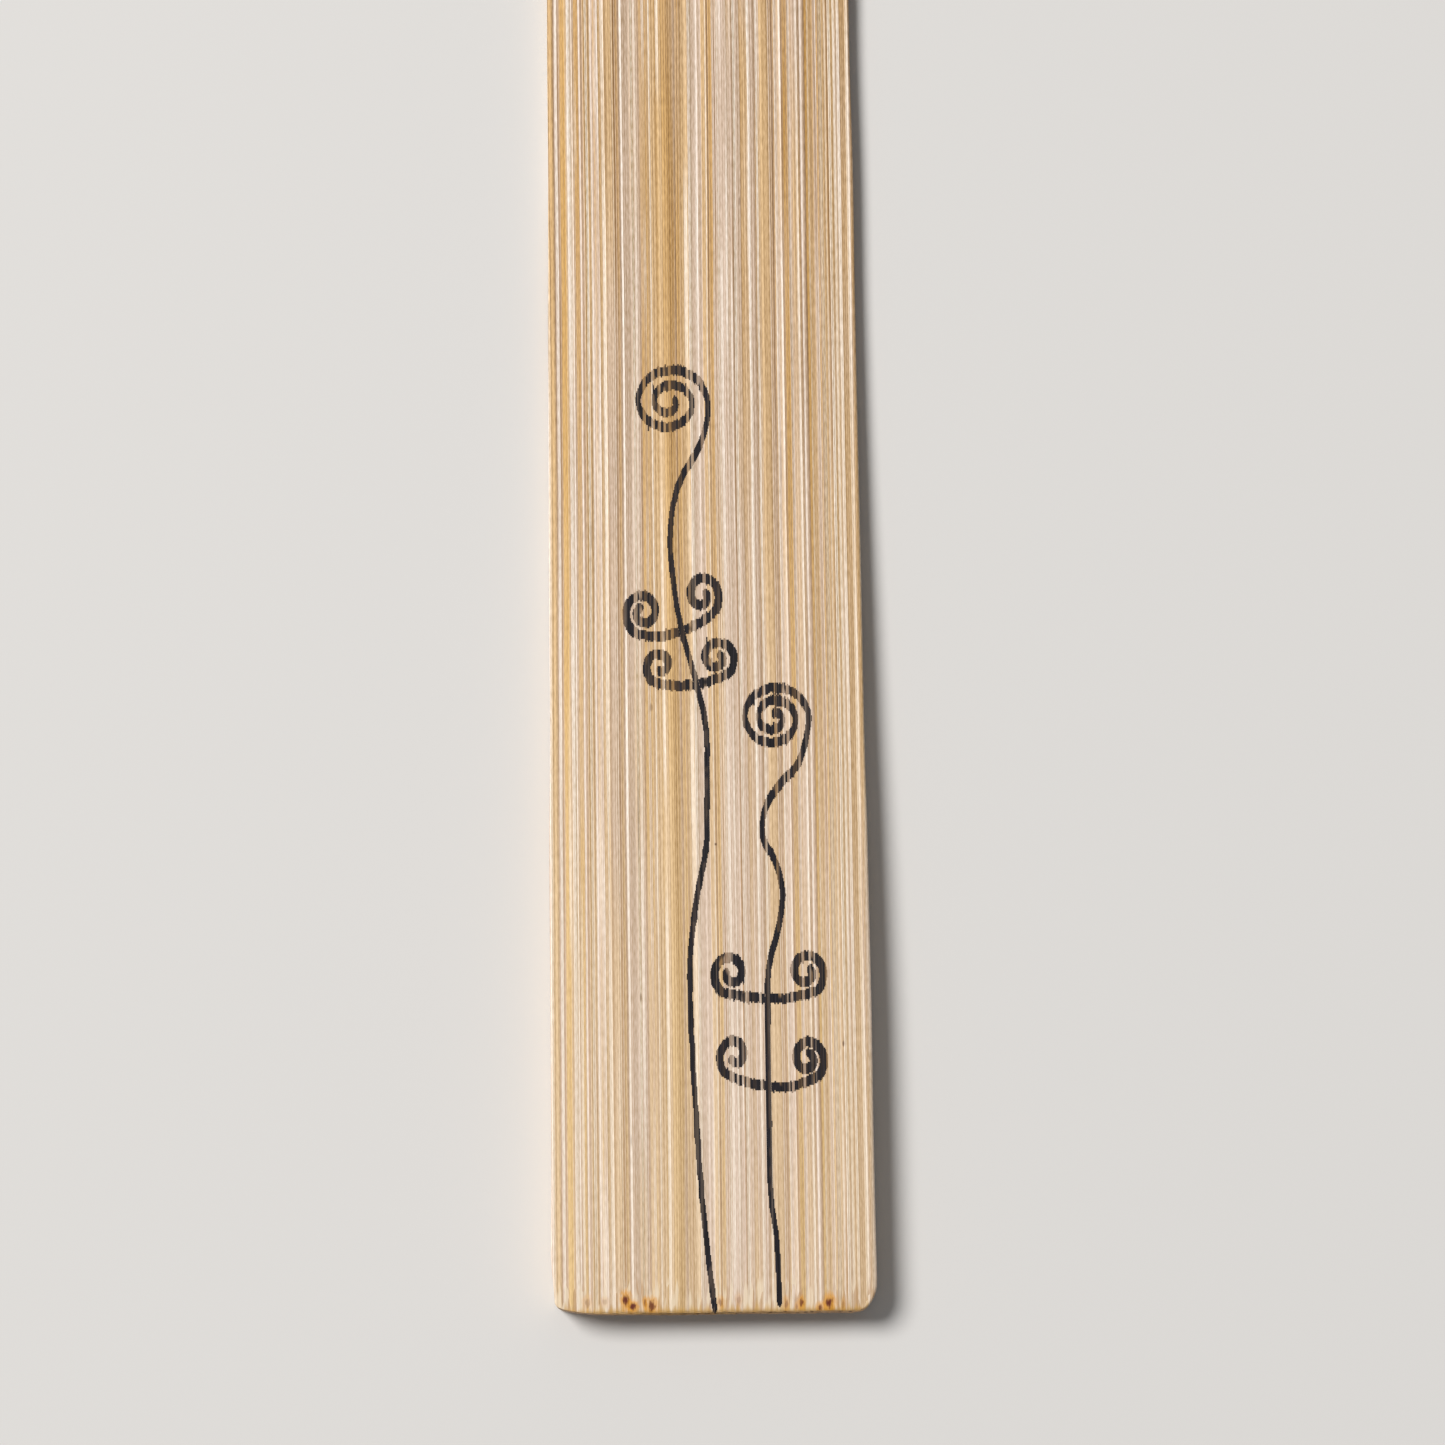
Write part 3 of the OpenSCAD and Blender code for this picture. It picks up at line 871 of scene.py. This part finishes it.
def hang_softbox(name, towards, distance, size, power, colour):
    """A round soft light, hung in a direction from the middle of the drawing and facing it."""
    light = bpy.data.lights.new(name, "AREA")
    light.shape = "DISK"
    light.size = size
    light.energy = power
    light.color = colour
    lamp = bpy.data.objects.new(name, light)
    bpy.context.scene.collection.objects.link(lamp)
    way = Vector(towards).normalized()
    lamp.location = Vector((0, handle_end + DRAWING_MIDDLE, 0)) + way * distance
    lamp.rotation_euler = way.to_track_quat("Z", "Y").to_euler()


ROOM_GLOW = 0.2     # how strongly the room's pale walls light the strip
WALL_GLOW = 0.74    # how bright those walls look behind it


def light_scene():
    """One big soft light from the upper left, in a pale room."""
    hang_softbox("key softbox", towards=(-0.53, 0.30, 0.79), distance=3.0, size=1.35, power=95.0,
                 colour=(1.0, 0.985, 0.97))
    world = bpy.data.worlds.new("room")
    world.use_nodes = True
    bench = Bench(world.node_tree)
    room = world.node_tree.nodes["Background"]
    room.inputs["Color"].default_value = (0.95, 0.97, 1.0, 1.0)
    in_view = bench.place("ShaderNodeLightPath").outputs["Is Camera Ray"]
    glow = bench.math("MULTIPLY_ADD", in_view, WALL_GLOW - ROOM_GLOW, ROOM_GLOW)
    bench.feed(room.inputs["Strength"], glow)
    bpy.context.scene.world = world
    bpy.context.scene.view_settings.view_transform = "Standard"


CAMERA_DISTANCE = 0.4
LENS = 127.7


def set_camera():
    """Nearly straight down, leaning a little towards the handle end."""
    lean, roll = math.radians(8.9), math.radians(-0.755)
    aim = Vector((1.2 * MM, handle_end + 45.9 * MM, 2.5 * MM))
    back = Vector((0, -math.sin(lean), math.cos(lean)))
    side = Vector((1, 0, 0))
    up = back.cross(side)
    turned_side = math.cos(roll) * side + math.sin(roll) * up
    turned_up = math.cos(roll) * up - math.sin(roll) * side
    data = bpy.data.cameras.new("camera")
    data.sensor_width = 36.0
    data.lens = LENS
    data.clip_start = 0.01
    camera = bpy.data.objects.new("camera", data)
    bpy.context.scene.collection.objects.link(camera)
    axes = Matrix((turned_side, turned_up, back)).transposed().to_4x4()
    camera.matrix_world = Matrix.Translation(aim + back * CAMERA_DISTANCE) @ axes
    bpy.context.scene.camera = camera


# ---------------------------------------------------------------- putting it together

fibres = make_bamboo_fibres()
bamboo = make_bamboo(fibres)
ink = make_ink(fibres)

strip = build_strip()
strip.data.materials.append(bamboo)
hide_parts(STRIP)
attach(strip, "root")

for figure in INK_FIGURES:
    film = build_figure(figure)
    film.data.materials.append(ink)
    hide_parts(figure)
    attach(film, "root")

lay_floor()
light_scene()
set_camera()
